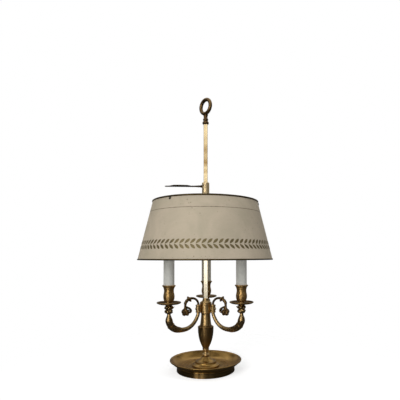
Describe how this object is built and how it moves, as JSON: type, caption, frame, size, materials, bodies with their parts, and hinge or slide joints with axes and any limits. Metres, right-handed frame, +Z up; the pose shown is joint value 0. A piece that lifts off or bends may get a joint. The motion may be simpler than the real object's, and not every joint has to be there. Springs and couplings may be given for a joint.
{
  "type": "bouillotte lamp",
  "caption": "Bouillotte table lamp: candle arms on a turned stem over a dished tray, under a painted metal shade that slides on a square rod and is locked by a leaf-shaped key.",
  "frame": {"origin": "middle of the face that the lamp stands on, on the axis of the rod", "axes": "+Z up along the rod, -Y towards the front, +Y along the back arm, -X towards the leaf key"},
  "size_m": [0.3216, 0.3216, 0.6565],
  "materials": {
    "aged_bronze": "cast brass with an aged brown lacquer",
    "dark_bronze": "brown bronzed brass",
    "polished_brass": "turned and polished brass",
    "gilt_trim": "rolled sheet edge with gold paint",
    "painted_sheet": "satin beige paint with a gold leaf band",
    "candle_sleeve": "off-white candle sleeve",
    "lampholder": "moulded insulating plastic",
    "bulb_cap": "screw cap",
    "bulb_glass": "opal glass",
    "plated_tube": "zinc plated",
    "brass_nut": "turned brass",
    "cast_ballast": "raw casting",
    "felt": "green felt",
    "bush": "black rubber"
  },
  "bodies": {
    "lamp": {"tray": "aged_bronze", "felt_pad": "felt", "ballast_ring": "cast_ballast", "tie_tube": "plated_tube", "tie_washer": "plated_tube", "tie_nut": "brass_nut", "cord_bush": "bush", "stem_foot": "aged_bronze", "spool": "polished_brass", "urn": "dark_bronze", "column": "polished_brass", "arm_hub": "polished_brass", "hub_cap": "aged_bronze", "rod": "polished_brass", "finial_base": "dark_bronze", "finial_ring": "dark_bronze", "arm_left": "aged_bronze", "arm_right": "aged_bronze", "arm_back": "aged_bronze", "scroll_left": "aged_bronze", "scroll_right": "aged_bronze", "scroll_back": "aged_bronze", "cuff_left": "aged_bronze", "cuff_right": "aged_bronze", "cuff_back": "aged_bronze", "cuff_screws": "polished_brass", "knop_left": "aged_bronze", "knop_right": "aged_bronze", "knop_back": "aged_bronze", "drip_pan_left": "aged_bronze", "drip_pan_right": "aged_bronze", "drip_pan_back": "aged_bronze", "cup_left": "aged_bronze", "cup_right": "aged_bronze", "cup_back": "aged_bronze", "nipples": "plated_tube", "lampholder_left": "lampholder", "lampholder_right": "lampholder", "lampholder_back": "lampholder", "sleeve_left": "candle_sleeve", "sleeve_right": "candle_sleeve", "sleeve_back": "candle_sleeve", "bulb_cap_left": "bulb_cap", "bulb_cap_right": "bulb_cap", "bulb_cap_back": "bulb_cap", "bulb_glass_left": "bulb_glass", "bulb_glass_right": "bulb_glass", "bulb_glass_back": "bulb_glass"},
    "shade": {"shade_shell": "painted_sheet", "rim_top": "gilt_trim", "rim_bottom": "gilt_trim", "shade_collar": "polished_brass", "spider": "polished_brass", "spider_rivets": "dark_bronze"},
    "key": {"leaf_key": "dark_bronze"}
  },
  "joints": [
    {"name": "shade_slide", "type": "slide", "parent": "lamp", "child": "shade", "axis": [0, 0, 1], "range_m": [-0.025, 0.138]},
    {"name": "key_turn", "type": "hinge", "parent": "shade", "child": "key", "pos_m": [-0.01, 0, 0.4399], "axis": [-1, 0, 0], "range_deg": [0, 270]}
  ]
}
